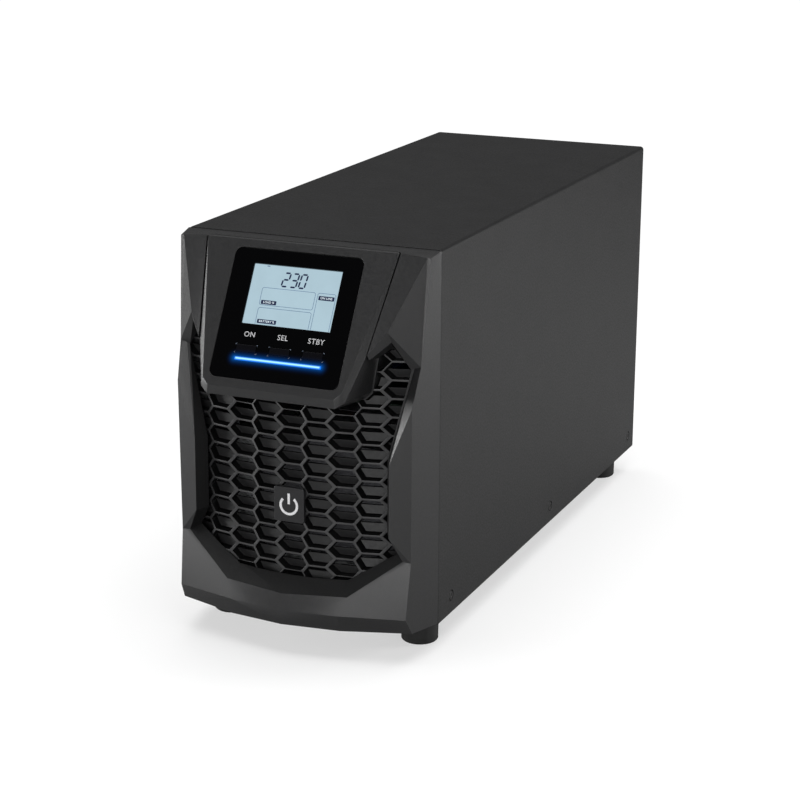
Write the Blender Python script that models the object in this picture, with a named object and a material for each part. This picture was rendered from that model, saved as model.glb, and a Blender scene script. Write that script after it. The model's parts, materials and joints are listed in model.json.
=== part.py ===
"""Tower uninterruptible power supply: steel case, faceted bezel, display, batteries and power stage.

Origin at the bottom centre of the feet, X to the right, Y to the back, Z up, metres.
Shapes are written in millimetres in the case frame: x = 0 on the centre line, y = 0 at the
seam between bezel and cover, z = 0 at the bottom edge of the cover.
"""
import math

import bmesh
import bpy
from mathutils import Matrix, Vector
from mathutils.geometry import tessellate_polygon

# ---------------------------------------------------------------- driving dimensions (mm)
WIDTH = 158.0
COVER_HEIGHT = 222.0
COVER_DEPTH = 382.0
FOOT_HEIGHT = 16.5
FOOT_RADIUS = 11.2
FOOT_X = 62.0
FOOT_Y = (14.0, 355.0)
SHEET = 1.0                # steel sheet of the cover
TRAY_SHEET = 1.2           # steel sheet of the tray and the rear panel
GAP = 0.3                  # clearance between pieces that touch
SCREW_Z = 10.8             # cover screws, above the lower edge of the cover
SCREW_Y = (21.0, 197.0, 369.0)
SCREW_HEAD = 3.1           # radius of a cover screw's head

SHIELD_TOP_Y = -13.15      # front plane of the display shield at its top edge
SHIELD_TOP_Z = 221.0
SHIELD_SLOPE = 0.57        # how far the plane comes forward for each mm down
SHIELD_LIP_Z = 145.8
LIP_Y = SHIELD_TOP_Y - SHIELD_SLOPE * (SHIELD_TOP_Z - SHIELD_LIP_Z)
GLASS_START = 5.1          # from the shield's top edge down its slope to the glass
GLASS_SIZE = (79.0, 76.0)
GLASS_THICK = 1.5
LCD_SIZE = (54.6, 35.3)
LCD_U = 0.8                # middle of the LCD, right of the middle of the glass
LCD_V = 26.2               # middle of the LCD, down from the top of the glass
KEY_PITCH = 20.5
KEY_U = 0.4                # middle key, right of the middle of the glass
KEY_V = 58.3
KEY_SIZE = (12.2, 4.0)
KEY_TRAVEL = 0.6
BAR_U = 0.5
BAR_V = 64.3
BAR_SIZE = (53.0, 1.7)

HEX_COLUMN = 15.8          # pitch of the grille's columns
HEX_ROW = 10.8             # pitch of the cells in a column
HEX_FLAT = 11.2            # horizontal rib of a cell, between corners
HEX_RIB = 1.2
HEX_DEPTH = 6.3
GRILLE_Y = -30.6           # grille front on the centre line
GRILLE_BOW = 0.0024        # front surface: y = GRILLE_Y + GRILLE_BOW * x * x
RIB_Z = 123.1              # a horizontal rib of the odd columns
HEX_STEP = 2.2             # how much deeper the even columns lie

TRAY_FRONT = 0.6           # front wall of the tray, behind the bezel's back
PANEL_INSET = 7.0          # rear panel, in from the rear edge of the cover
BATTERY = (151.0, 65.0, 94.0)
BATTERY_Y = (16.0, 84.0, 152.0)
FAN_SIZE = 80.0
FAN_DEPTH = 25.0
FAN_X = -30.0
FAN_Z = 168.0
FAN_BORE = 38.0
BLADES = 7

MM = 0.001
LIP = -LIP_Y
SEAM_Y = LIP - (COVER_DEPTH + LIP) / 2.0
HALF = WIDTH / 2.0
PANEL_Y = COVER_DEPTH - PANEL_INSET


def case_point(x, y, z):
    """World position in metres of a point given in the case frame in millimetres."""
    return Vector((x * MM, (SEAM_Y + y) * MM, (FOOT_HEIGHT + z) * MM))


# ---------------------------------------------------------------- scene and materials
def clear_scene():
    for obj in list(bpy.data.objects):
        bpy.data.objects.remove(obj, do_unlink=True)


def material(name, colour, roughness, metallic=0.0):
    mat = bpy.data.materials.get(name)
    if mat is None:
        mat = bpy.data.materials.new(name)
        mat.use_nodes = True
        shader = mat.node_tree.nodes["Principled BSDF"]
        shader.inputs["Base Color"].default_value = (*colour, 1.0)
        shader.inputs["Roughness"].default_value = roughness
        shader.inputs["Metallic"].default_value = metallic
        mat.diffuse_color = (*colour, 1.0)
    return mat


def cover_paint():
    return material("cover_paint", (0.016, 0.016, 0.017), 0.45, 0.2)


def bezel_plastic():
    return material("bezel_plastic", (0.026, 0.026, 0.028), 0.5)


def gloss_black():
    return material("gloss_black", (0.004, 0.004, 0.005), 0.12)


def lcd_face():
    return material("lcd_face", (0.45, 0.62, 0.70), 0.25)


def light_lens():
    return material("light_lens", (0.35, 0.75, 1.0), 0.3)


def rubber():
    return material("rubber", (0.012, 0.012, 0.012), 0.8)


def zinc_steel():
    return material("zinc_steel", (0.55, 0.56, 0.57), 0.35, 1.0)


def black_screw():
    return material("black_screw", (0.02, 0.02, 0.02), 0.35, 0.9)


def battery_case():
    return material("battery_case", (0.09, 0.09, 0.10), 0.55)


def board_green():
    return material("board_green", (0.02, 0.16, 0.06), 0.5)


def aluminium():
    return material("aluminium", (0.72, 0.73, 0.74), 0.35, 1.0)


def copper_winding():
    return material("copper_winding", (0.62, 0.28, 0.10), 0.35, 0.9)


def socket_black():
    return material("socket_black", (0.02, 0.02, 0.02), 0.4)


def badge_grey():
    return material("badge_grey", (0.05, 0.05, 0.055), 0.4)


def red_wire():
    return material("red_wire", (0.5, 0.02, 0.02), 0.5)


def black_wire():
    return material("black_wire", (0.02, 0.02, 0.02), 0.5)


# ---------------------------------------------------------------- mesh helpers
def finish_mesh(name, bm, mat, smooth_angle=None):
    """Closed bmesh in world metres to a named object with outward faces."""
    bmesh.ops.recalc_face_normals(bm, faces=bm.faces)
    mesh = bpy.data.meshes.new(name)
    bm.to_mesh(mesh)
    bm.free()
    obj = bpy.data.objects.new(name, mesh)
    bpy.context.scene.collection.objects.link(obj)
    mesh.materials.append(mat)
    if smooth_angle is not None:
        mesh.shade_smooth()
        mesh.set_sharp_from_angle(angle=math.radians(smooth_angle))
    return obj


def place_origin(obj, origin):
    """Move the object's origin without moving its mesh in the world."""
    obj.data.transform(Matrix.Translation(-origin))
    obj.location = origin
    return obj


AXES = {
    "X": lambda a, b, h: case_point(h, a, b),
    "Y": lambda a, b, h: case_point(a, h, b),
    "Z": lambda a, b, h: case_point(a, b, h),
}


def prism(name, outer, low, high, axis, mat, holes=(), smooth_angle=None, place=None):
    """Outline, with holes, extruded along an axis of the case frame from low to high."""
    place = place or AXES[axis]
    loops = [list(outer)] + [list(hole) for hole in holes]
    triangles = tessellate_polygon([[Vector((a, b, 0.0)) for a, b in loop] for loop in loops])
    bm = bmesh.new()
    bottoms = [[bm.verts.new(place(a, b, low)) for a, b in loop] for loop in loops]
    tops = [[bm.verts.new(place(a, b, high)) for a, b in loop] for loop in loops]
    flat_bottom = [vert for loop in bottoms for vert in loop]
    flat_top = [vert for loop in tops for vert in loop]
    for i, j, k in triangles:
        bm.faces.new((flat_bottom[i], flat_bottom[j], flat_bottom[k]))
        bm.faces.new((flat_top[k], flat_top[j], flat_top[i]))
    for bottom, top in zip(bottoms, tops):
        count = len(bottom)
        for i in range(count):
            j = (i + 1) % count
            bm.faces.new((bottom[i], bottom[j], top[j], top[i]))
    return finish_mesh(name, bm, mat, smooth_angle)


def box(name, x, y, z, mat):
    """Block between the given pairs of case-frame limits."""
    outline = [(x[0], y[0]), (x[1], y[0]), (x[1], y[1]), (x[0], y[1])]
    return prism(name, outline, z[0], z[1], "Z", mat)


def circle(cx, cy, radius, segments, start=0.0):
    step = 2.0 * math.pi / segments
    return [(cx + radius * math.cos(start + step * i), cy + radius * math.sin(start + step * i))
            for i in range(segments)]


def rounded_rectangle(cx, cy, width, height, radius, arc=4):
    """Outline of a rectangle whose corners are arcs."""
    points = []
    corners = ((1, 1, 0), (-1, 1, 90), (-1, -1, 180), (1, -1, 270))
    for sx, sy, first in corners:
        ox = cx + sx * (width / 2.0 - radius)
        oy = cy + sy * (height / 2.0 - radius)
        for i in range(arc + 1):
            angle = math.radians(first + 90.0 * i / arc)
            points.append((ox + radius * math.cos(angle), oy + radius * math.sin(angle)))
    return points


def rectangle(cx, cy, width, height):
    w = width / 2.0
    h = height / 2.0
    return [(cx - w, cy - h), (cx + w, cy - h), (cx + w, cy + h), (cx - w, cy + h)]


def turned(name, profile, centre, axis, mat, segments=24):
    """Solid of revolution: profile of (radius, height) pairs, both ends on the axis."""
    bm = bmesh.new()
    rings = []
    for radius, height in profile:
        if radius == 0.0:
            rings.append([bm.verts.new(AXES[axis](*centre, height))])
            continue
        rings.append([bm.verts.new(AXES[axis](a, b, height))
                      for a, b in circle(*centre, radius, segments)])
    for lower, upper in zip(rings, rings[1:]):
        for i in range(segments):
            j = (i + 1) % segments
            if len(lower) == 1:
                bm.faces.new((lower[0], upper[j], upper[i]))
            elif len(upper) == 1:
                bm.faces.new((lower[i], lower[j], upper[0]))
            else:
                bm.faces.new((lower[i], lower[j], upper[j], upper[i]))
    return finish_mesh(name, bm, mat, 35.0)


def boolean(target, tool, operation):
    """Cut or join the tool into the target, and remove the tool."""
    modifier = target.modifiers.new(operation.lower(), "BOOLEAN")
    modifier.operation = operation
    modifier.solver = "EXACT"
    modifier.object = tool
    bpy.context.view_layer.update()
    depsgraph = bpy.context.evaluated_depsgraph_get()
    mesh = bpy.data.meshes.new_from_object(target.evaluated_get(depsgraph))
    target.modifiers.clear()
    target.data = mesh
    bpy.data.objects.remove(tool, do_unlink=True)
    return target


def cut(target, *tools):
    for tool in tools:
        boolean(target, tool, "DIFFERENCE")
    return target


def weld(target, *others):
    for other in others:
        boolean(target, other, "UNION")
    return target


# ---------------------------------------------------------------- steel case
def u_profile(half_width, height, thickness, bend, up):
    """Inverted U (up=False) or upright U outline of bent sheet, in x and z."""
    outer = []
    inner = []
    sign = 1.0 if up else -1.0
    base = 0.0 if up else height
    tip = height if up else 0.0
    outer.append((-half_width, tip))
    inner.append((-half_width + thickness, tip))
    for side in (-1.0, 1.0):
        cx = side * (half_width - bend)
        cz = base + sign * bend
        for i in range(5):
            turn = math.radians(90.0 * i / 4.0)
            across = math.cos(turn) if side < 0 else math.sin(turn)
            along = math.sin(turn) if side < 0 else math.cos(turn)
            outer.append((cx + side * bend * across, cz - sign * bend * along))
            inner_bend = bend - thickness
            inner.append((cx + side * inner_bend * across, cz - sign * inner_bend * along))
    outer.append((half_width, tip))
    inner.append((half_width - thickness, tip))
    return outer + inner[::-1]


def screw_hole(name, side, y, radius):
    """Cutter along X for a cover screw."""
    low = side * (HALF - 12.0)
    high = side * (HALF + 5.0)
    return prism(name, circle(y, SCREW_Z, radius, 12), min(low, high), max(low, high), "X",
                 cover_paint())


def build_cover():
    cover = prism("top_cover", u_profile(HALF, COVER_HEIGHT, SHEET, 2.2, False),
                  GAP, COVER_DEPTH, "Y", cover_paint(), smooth_angle=35.0)
    for side in (-1, 1):
        for y in SCREW_Y:
            cut(cover, screw_hole("cover_hole", side, y, SCREW_HEAD + GAP))
    return cover


def build_tray():
    """Floor with upright flanges, a front wall with the air opening and a rear lip."""
    inner_half = HALF - SHEET - GAP
    tray = prism("chassis_tray", u_profile(inner_half, 26.0, TRAY_SHEET, 2.0, True),
                 TRAY_FRONT, PANEL_Y - GAP, "Y", zinc_steel())
    wall_half = inner_half - 0.2
    wall_outline = [(-wall_half, 0.6), (wall_half, 0.6), (wall_half, 215.0), (-wall_half, 215.0)]
    air_opening = rectangle(0.0, 96.0, 128.0, 132.0)
    cable_opening = rectangle(0.0, 190.0, 60.0, 22.0)
    wall = prism("front_wall", wall_outline, TRAY_FRONT, TRAY_FRONT + TRAY_SHEET, "Y",
                 zinc_steel(), holes=(air_opening, cable_opening))
    weld(tray, wall)
    for side in (-1, 1):
        for y in SCREW_Y:
            cut(tray, screw_hole("tray_hole", side, y, 2.2))
    for x in (-FOOT_X, FOOT_X):
        for y in FOOT_Y:
            cut(tray, prism("foot_hole", circle(x, y, 2.6, 12), -3.0, 6.0, "Z", zinc_steel()))
    return tray


def build_cover_screws():
    """Flat screws set flush in the lower edge of the cover."""
    for side, side_name in ((-1, "left"), (1, "right")):
        for number, y in enumerate(SCREW_Y, 1):
            profile = [(0.0, HALF - 0.45), (1.2, HALF - 0.45), (1.2, HALF - 0.1),
                       (SCREW_HEAD - 0.4, HALF - 0.1), (SCREW_HEAD, HALF - SHEET + 0.1),
                       (1.9, HALF - SHEET + 0.1), (1.9, HALF - 3.1), (0.0, HALF - 3.1)]
            profile = [(radius, side * height) for radius, height in profile]
            turned("cover_screw_%s_%d" % (side_name, number), profile, (y, SCREW_Z), "X",
                   black_screw(), 16)


def build_feet():
    names = {(-1, 0): "front_left", (1, 0): "front_right", (-1, 1): "rear_left",
             (1, 1): "rear_right"}
    for (side, row), where in names.items():
        profile = [(0.0, -FOOT_HEIGHT), (FOOT_RADIUS - 1.2, -FOOT_HEIGHT),
                   (FOOT_RADIUS - 0.2, -FOOT_HEIGHT + 1.0), (FOOT_RADIUS, -1.2),
                   (FOOT_RADIUS - 0.8, -GAP), (2.2, -GAP), (2.2, 1.6), (0.0, 1.6)]
        turned("foot_" + where, profile, (side * FOOT_X, FOOT_Y[row]), "Z", rubber(), 24)


# ---------------------------------------------------------------- front bezel
BEZEL_POINTS = {
    # seam with the cover, from top to bottom
    "seam_top": (79.0, 0.0, 221.4), "seam_k": (79.0, 0.0, 159.3), "seam_j": (79.0, 0.0, 137.2),
    "seam_d": (79.0, 0.0, 46.0), "seam_h": (79.0, 0.0, 13.0), "seam_low": (79.0, 0.0, 0.8),
    # inner edge of the corner strip
    "strip_top": (77.7, -12.0, 219.3), "k": (75.3, -19.6, 159.3), "j": (73.5, -27.6, 137.2),
    "d": (73.0, -26.8, 46.0), "h": (72.1, -31.6, 13.0), "i": (73.5, -25.3, 2.9),
    # shoulders beside the display
    "m": (75.6, -12.3, 219.6), "n": (60.2, -13.2, 221.0), "seat_top": (58.4, -10.0, 221.1),
    "l": (60.6, -32.7, 180.5), "o": (52.0, -40.6, 168.6), "o_low": (52.3, -38.4, 165.4),
    # rim of the grille opening
    "r1": (61.7, -29.2, 174.4), "r2": (71.3, -19.2, 158.0), "f": (61.2, -31.1, 104.0),
    "e": (61.2, -31.2, 60.5), "c": (68.0, -26.9, 46.4), "a": (38.2, -37.7, 23.9),
    "b": (0.0, -44.2, 22.8),
    # front band and foot of the bezel
    "g": (33.9, -41.0, 12.9), "g_low": (34.2, -39.0, 3.3), "g0": (0.0, -46.5, 13.2),
    "foot_mid": (0.0, -45.0, 4.2),
    # where the recess walls reach the grille
    "r1_in": (60.0, -22.6, 170.0), "r2_in": (69.3, -19.3, 157.2), "f_in": (57.0, -23.3, 104.0),
    "e_in": (57.0, -23.3, 61.0), "c_in": (63.0, -21.6, 49.0), "a_in": (34.5, -28.3, 30.5),
    "b_in": (0.0, -31.1, 29.6),
    # seat behind the display shield
    "s1": (51.5, -23.5, 163.0), "s2": (47.9, -23.5, 142.4), "s3": (43.4, -23.5, 137.9),
}
MIDDLE = ("b", "g0", "foot_mid", "b_in")
TUNNEL = ("s3", "s2", "s1", "r1_in", "r2_in", "f_in", "e_in", "c_in", "a_in", "b_in")
SEAM = ("seam_top", "seam_k", "seam_j", "seam_d", "seam_h", "seam_low")
BEZEL_FACES = (
    ("seam_top", "n", "seat_top"), ("seam_top", "m", "n"), ("seam_top", "strip_top", "m"),
    ("seam_top", "seam_k", "k", "strip_top"), ("seam_k", "seam_j", "j", "k"),
    ("seam_j", "seam_d", "d", "j"), ("seam_d", "seam_h", "h", "d"),
    ("seam_h", "seam_low", "i", "h"), ("seam_low", "g_low", "i"),
    ("seam_low", "foot_mid", "g_low"),
    ("n", "m", "l"), ("n", "l", "o"), ("m", "strip_top", "k"), ("m", "k", "l"),
    ("l", "k", "r2"), ("l", "r2", "r1"), ("l", "r1", "o_low"), ("l", "o_low", "o"),
    ("k", "j", "r2"), ("r2", "j", "f"), ("j", "d", "e"), ("j", "e", "f"),
    ("e", "d", "c"), ("c", "d", "a"), ("a", "d", "g"), ("d", "h", "g"),
    ("a", "g", "g0"), ("a", "g0", "b"), ("g", "h", "i"), ("g", "i", "g_low"),
    ("g", "g_low", "foot_mid"), ("g", "foot_mid", "g0"),
    ("n", "o", "s1"), ("n", "s1", "seat_top"), ("o", "o_low", "s1"),
    ("o_low", "r1", "r1_in", "s1"), ("r1", "r2", "r2_in"), ("r1", "r2_in", "r1_in"),
    ("r2", "f", "f_in", "r2_in"), ("f", "e", "e_in", "f_in"), ("e", "c", "c_in", "e_in"),
    ("c", "a", "a_in", "c_in"), ("a", "b", "b_in", "a_in"),
)


def grille_y(x, offset=0.0):
    return GRILLE_Y + GRILLE_BOW * x * x + offset


def column_step(x):
    """Extra depth of the honeycomb at x: even columns lie deeper, slanted ribs lead there."""
    across = abs(x) % (2.0 * HEX_COLUMN)
    from_even = min(across, 2.0 * HEX_COLUMN - across)
    share = (from_even - HEX_FLAT / 2.0) / (HEX_COLUMN - HEX_FLAT)
    return HEX_STEP * (1.0 - min(max(share, 0.0), 1.0))


def bezel_block():
    """Closed faceted block: outer facets, recess walls, tunnel behind them and a flat back."""
    bm = bmesh.new()
    verts = {}
    for name, (x, y, z) in BEZEL_POINTS.items():
        verts[name, 1] = bm.verts.new(case_point(x, y, z))
        verts[name, -1] = verts[name, 1]
        if name not in MIDDLE:
            verts[name, -1] = bm.verts.new(case_point(-x, y, z))
    back = {}
    for name in TUNNEL:
        x, _, z = BEZEL_POINTS[name]
        back[name, 1] = bm.verts.new(case_point(x, 0.0, z))
        back[name, -1] = back[name, 1]
        if name not in MIDDLE:
            back[name, -1] = bm.verts.new(case_point(-x, 0.0, z))
    for side in (1, -1):
        for face in BEZEL_FACES:
            bm.faces.new([verts[name, side] for name in face[::side]])
        for first, second in zip(TUNNEL, TUNNEL[1:]):
            bm.faces.new([verts[first, side], verts[second, side],
                          back[second, side], back[first, side]])
    for ring in (("seam_top", "seat_top"), ("seat_top", "s1"), ("s1", "s2"), ("s2", "s3")):
        bm.faces.new([verts[ring[0], 1], verts[ring[1], 1], verts[ring[1], -1],
                      verts[ring[0], -1]])
    bm.faces.new([verts["seam_low", 1], verts["foot_mid", 1], verts["seam_low", -1]])
    bm.faces.new([verts["s3", 1], back["s3", 1], back["s3", -1], verts["s3", -1]])
    outer = [verts[name, 1] for name in SEAM] + [verts[name, -1] for name in SEAM[::-1]]
    hole = [back[name, 1] for name in TUNNEL] + [back[name, -1] for name in TUNNEL[-2::-1]]
    loops = [[Vector((v.co.x, v.co.z, 0.0)) for v in loop] for loop in (outer, hole)]
    flat = outer + hole
    for i, j, k in tessellate_polygon(loops):
        bm.faces.new((flat[i], flat[j], flat[k]))
    return finish_mesh("front_bezel", bm, bezel_plastic())


def bowed_cutter(name, left, right, low, high):
    """Cutter for the space behind the bowed front of the grille, with its clearance."""
    steps = 12
    across = [left + (right - left) * i / steps for i in range(steps + 1)]
    outline = [(x, grille_y(x, -GAP)) for x in across]
    outline += [(right, 2.0), (left, 2.0)]
    return prism(name, outline, low, high, "Z", bezel_plastic())


def build_bezel():
    bezel = bezel_block()
    cut(bezel, bowed_cutter("grille_pocket", -74.0, 74.0, 24.0, 137.0))
    for side in (-1, 1):
        x = sorted((side * 52.6, side * 74.0))
        cut(bezel, bowed_cutter("shoulder_pocket", *x, 136.0, 172.6))
        x = sorted((side * 56.0, side * 74.0))
        cut(bezel, box("shoulder_hollow", x, (-9.0, 2.0), (178.0, 216.0), bezel_plastic()))
    cut(bezel, box("seat_hollow", (-52.0, 52.0), (-7.5, 2.0), (186.0, 217.0), bezel_plastic()))
    cut(bezel, box("seat_window", (-34.0, 34.0), (-30.0, 2.0), (150.0, 184.0), bezel_plastic()))
    cut(bezel, box("foot_hollow", (-31.0, 31.0), (-35.5, 2.0), (6.0, 19.5), bezel_plastic()))
    return bezel


# ---------------------------------------------------------------- hexagon grille
def cell_corners(column, row):
    """Centre and corners of a cell, clockwise from its left corner, in x and z."""
    cx = column * HEX_COLUMN
    shift = 0.5 if column % 2 else 0.0
    cz = RIB_Z + HEX_ROW * (row + shift)
    half_flat = HEX_FLAT / 2.0
    reach = HEX_COLUMN - half_flat
    half_row = HEX_ROW / 2.0
    return (cx, cz), [(cx - reach, cz), (cx - half_flat, cz + half_row),
                      (cx + half_flat, cz + half_row), (cx + reach, cz),
                      (cx + half_flat, cz - half_row), (cx - half_flat, cz - half_row)]


def cell_is_kept(column, row):
    """Cells that stay inside the pocket behind the recess walls, clear of the shield."""
    (cx, cz), corners = cell_corners(column, row)
    top = max(z for _, z in corners)
    bottom = min(z for _, z in corners)
    if abs(column) == 4:
        return bottom > 36.0 and top < 172.2
    if abs(column) == 3:
        return bottom > 24.5 and top < 159.0
    return bottom > 24.5 and top < 136.9


def build_grille():
    """Honeycomb of ribs; the lower half of each cell is closed by a plate at its back."""
    bm = bmesh.new()
    nodes = {}

    def vert(x, z, depth):
        key = (round(x, 2), round(z, 2), round(depth, 2))
        if key not in nodes:
            y = grille_y(x) + column_step(x) + depth
            nodes[key] = bm.verts.new(case_point(x, y, z))
        return nodes[key]

    back = HEX_DEPTH + 1.6
    edges = {}
    for column in range(-4, 5):
        for row in range(-11, 6):
            if not cell_is_kept(column, row):
                continue
            (cx, cz), outer = cell_corners(column, row)
            inner = []
            for i, (x, z) in enumerate(outer):
                scale_x = 1.0 - (HEX_RIB / 2.0) / (HEX_ROW / 2.0)
                inner.append((cx + (x - cx) * scale_x, cz + (z - cz) * scale_x))
            for i in range(6):
                j = (i + 1) % 6
                front_out = (vert(*outer[i], 0.0), vert(*outer[j], 0.0))
                front_in = (vert(*inner[i], 0.0), vert(*inner[j], 0.0))
                bm.faces.new((front_out[0], front_out[1], front_in[1], front_in[0]))
                upper = i < 3
                floor = back if upper else HEX_DEPTH
                deep_in = (vert(*inner[i], floor), vert(*inner[j], floor))
                wall = [front_in[0], front_in[1], deep_in[1], deep_in[0]]
                if i == 0:
                    wall.append(vert(*inner[0], HEX_DEPTH))
                if i == 2:
                    wall.insert(2, vert(*inner[3], HEX_DEPTH))
                bm.faces.new(wall)
                key = tuple(sorted(((round(outer[i][0], 2), round(outer[i][1], 2)),
                                    (round(outer[j][0], 2), round(outer[j][1], 2)))))
                edges.setdefault(key, []).append((outer[i], outer[j]))
                if upper:
                    back_out = (vert(*outer[i], back), vert(*outer[j], back))
                    back_in = (vert(*inner[i], back), vert(*inner[j], back))
                    bm.faces.new((back_out[0], back_in[0], back_in[1], back_out[1]))
            plate = [inner[3], inner[4], inner[5], inner[0]]
            bm.faces.new([vert(*point, HEX_DEPTH) for point in plate])
            bm.faces.new((vert(*inner[0], HEX_DEPTH), vert(*inner[3], HEX_DEPTH),
                          vert(*inner[3], back), vert(*inner[0], back)))
            lower = [outer[0], outer[5], outer[4], outer[3], inner[3], inner[0]]
            bm.faces.new([vert(*point, back) for point in lower])
    for uses in edges.values():
        if len(uses) == 1:
            first, second = uses[0]
            bm.faces.new((vert(*first, 0.0), vert(*first, back), vert(*second, back),
                          vert(*second, 0.0)))
    bmesh.ops.triangulate(bm, faces=[face for face in bm.faces if len(face.verts) > 3])
    grille = finish_mesh("hex_grille", bm, bezel_plastic())
    for side in (-1, 1):
        seat = [(43.4, 136.6), (48.4, 142.0), (52.0, 162.8), (60.4, 170.0), (68.0, 176.0),
                (30.0, 176.0), (30.0, 136.6)]
        outline = [(side * x, z) for x, z in seat[::side]]
        cut(grille, prism("seat_clearance", outline, -40.0, 4.0, "Y", bezel_plastic()))
    return grille


def build_badge():
    """Plain badge plate that clips onto the grille."""
    low = -0.4 + GRILLE_Y - 2.4
    return prism("grille_badge", rounded_rectangle(0.0, 73.0, 19.0, 21.0, 1.5, 3),
                 low, low + 2.2, "Y", badge_grey())


# ---------------------------------------------------------------- display shield
SHIELD_POINTS = {
    "n": (59.3, SHIELD_TOP_Y, SHIELD_TOP_Z), "p1": (42.8, -53.96, 149.4),
    "p2": (38.8, LIP_Y, SHIELD_LIP_Z), "q1": (44.3, -53.3, 143.9), "q2": (39.4, -55.9, 140.7),
    "o": (51.3, -40.2, 168.2), "back_top": (57.6, -10.4, 221.0), "b1": (50.6, -23.9, 163.6),
    "b2": (47.2, -23.9, 142.9), "b3": (42.9, -23.9, 138.4),
}
SHIELD_FACES = (
    ("n", "o", "q1", "p1"), ("p1", "q1", "q2", "p2"), ("n", "back_top", "b1", "o"),
    ("o", "b1", "b2", "q1"), ("q1", "b2", "b3", "q2"),
)
SHIELD_RING = ("n", "p1", "p2")
TILT = math.atan(SHIELD_SLOPE)


def slope_point(u, v, w):
    """Point on the display: u across, v down from the top of the glass, w out of its face."""
    down = GLASS_START + v
    y = SHIELD_TOP_Y - down * math.sin(TILT) - w * math.cos(TILT)
    z = SHIELD_TOP_Z - down * math.cos(TILT) + w * math.sin(TILT)
    return case_point(u, y, z)


def slope_prism(name, outline, low, high, mat, holes=()):
    """Outline in u and v extruded along w."""
    return prism(name, outline, low, high, None, mat, holes=holes, place=slope_point)


def build_shield():
    bm = bmesh.new()
    verts = {}
    for name, (x, y, z) in SHIELD_POINTS.items():
        verts[name, 1] = bm.verts.new(case_point(x, y, z))
        verts[name, -1] = bm.verts.new(case_point(-x, y, z))
    for side in (1, -1):
        for face in SHIELD_FACES:
            bm.faces.new([verts[name, side] for name in face[::side]])
    front = [verts[name, 1] for name in SHIELD_RING]
    front += [verts[name, -1] for name in SHIELD_RING[::-1]]
    bm.faces.new(front)
    for first, second in (("p2", "q2"), ("q2", "b3"), ("b3", "b2"), ("b2", "b1"),
                          ("b1", "back_top"), ("back_top", "n")):
        bm.faces.new([verts[first, 1], verts[second, 1], verts[second, -1], verts[first, -1]])
    bmesh.ops.triangulate(bm, faces=bm.faces)
    shield = finish_mesh("display_shield", bm, bezel_plastic())
    middle = GLASS_SIZE[1] / 2.0
    cut(shield, slope_prism("glass_pocket",
                            rounded_rectangle(0.0, middle, GLASS_SIZE[0] + 2 * GAP,
                                              GLASS_SIZE[1] + 2 * GAP, 4.3),
                            -GLASS_THICK - 0.4, 3.0, bezel_plastic()))
    cut(shield, slope_prism("board_space", rectangle(0.0, 45.0, 80.0, 58.0),
                            -40.0, -4.2, bezel_plastic()))
    cut(shield, slope_prism("lcd_window", rectangle(LCD_U, LCD_V, 61.2, 42.0),
                            -12.0, 3.0, bezel_plastic()))
    for number in (-1, 0, 1):
        outline = rectangle(KEY_U + number * KEY_PITCH, KEY_V, KEY_SIZE[0] + 2 * GAP,
                            KEY_SIZE[1] + 2 * GAP)
        cut(shield, slope_prism("key_hole", outline, -6.0, 3.0, bezel_plastic()))
    outline = rectangle(BAR_U, BAR_V, BAR_SIZE[0] + 2 * GAP, BAR_SIZE[1] + 2 * GAP)
    cut(shield, slope_prism("bar_hole", outline, -6.0, 3.0, bezel_plastic()))
    return shield


def build_display():
    """Glass, LCD, light bar, three keys and the board behind them."""
    holes = [rectangle(LCD_U, LCD_V, LCD_SIZE[0], LCD_SIZE[1])]
    for number in (-1, 0, 1):
        holes.append(rectangle(KEY_U + number * KEY_PITCH, KEY_V,
                               KEY_SIZE[0] + 2 * GAP, KEY_SIZE[1] + 2 * GAP))
    holes.append(rectangle(BAR_U, BAR_V, BAR_SIZE[0] + 2 * GAP, BAR_SIZE[1] + 2 * GAP))
    slope_prism("display_glass",
                rounded_rectangle(0.0, GLASS_SIZE[1] / 2.0, *GLASS_SIZE, 4.0),
                -GLASS_THICK - 0.05, -0.05, gloss_black(), holes=holes)
    lcd = slope_prism("lcd_panel", rectangle(LCD_U, LCD_V, 60.4, 41.2), -4.6,
                      -GLASS_THICK - 0.4, lcd_face())
    weld(lcd, slope_prism("lcd_window_glass", rectangle(LCD_U, LCD_V, LCD_SIZE[0] - 2 * GAP,
                                                       LCD_SIZE[1] - 2 * GAP),
                          -3.0, -0.35, lcd_face()))
    slope_prism("light_bar", rectangle(BAR_U, BAR_V, *BAR_SIZE), -5.9, -0.1, light_lens())
    for number, name in ((-1, "on_key"), (0, "select_key"), (1, "standby_key")):
        centre = KEY_U + number * KEY_PITCH
        key = slope_prism(name, rectangle(centre, KEY_V, *KEY_SIZE), -4.6, 0.15, gloss_black())
        weld(key, slope_prism("key_flange", rectangle(centre, KEY_V, 15.0, 6.6),
                              -5.3, -4.5, gloss_black()))
        place_origin(key, slope_point(centre, KEY_V, 0.15))
    board = slope_prism("display_board", rectangle(0.0, 46.0, 76.0, 52.0), -8.2, -6.6,
                        board_green())
    for number in (-1, 0, 1):
        weld(board, slope_prism("switch", rectangle(KEY_U + number * KEY_PITCH, KEY_V, 6.0, 3.5),
                                -7.0, -6.2, board_green()))
    return board


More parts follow.
